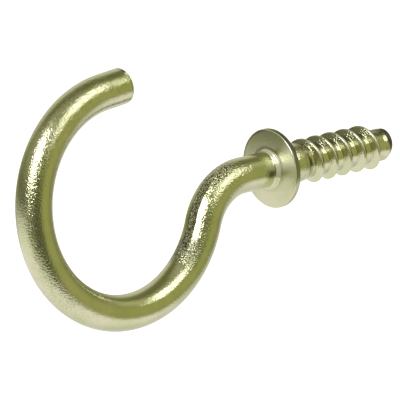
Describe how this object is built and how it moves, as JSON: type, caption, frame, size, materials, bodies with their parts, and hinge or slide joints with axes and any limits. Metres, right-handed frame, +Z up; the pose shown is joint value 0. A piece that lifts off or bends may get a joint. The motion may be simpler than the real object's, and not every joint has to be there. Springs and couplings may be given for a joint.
{
  "type": "cup hook",
  "caption": "Shouldered cup hook: a round wire loop with an open mouth, a domed collar that seats on the wall, and a coarse wood-screw shank with a blunt point.",
  "frame": {"origin": "centre of the collar's flat back face, where the screw enters the wall", "axes": "+X along the screw into the wall, +Z up towards the loop's mouth, the loop lying in the XZ plane on the -X side"},
  "size_m": [0.0452, 0.0074, 0.024],
  "materials": {
    "plated_wire": "thin bright greenish-yellow brass plating on drawn steel wire, with fine dark grain along the draw and bending marks"
  },
  "bodies": {
    "root": {"cup_hook": "plated_wire"}
  },
  "joints": []
}
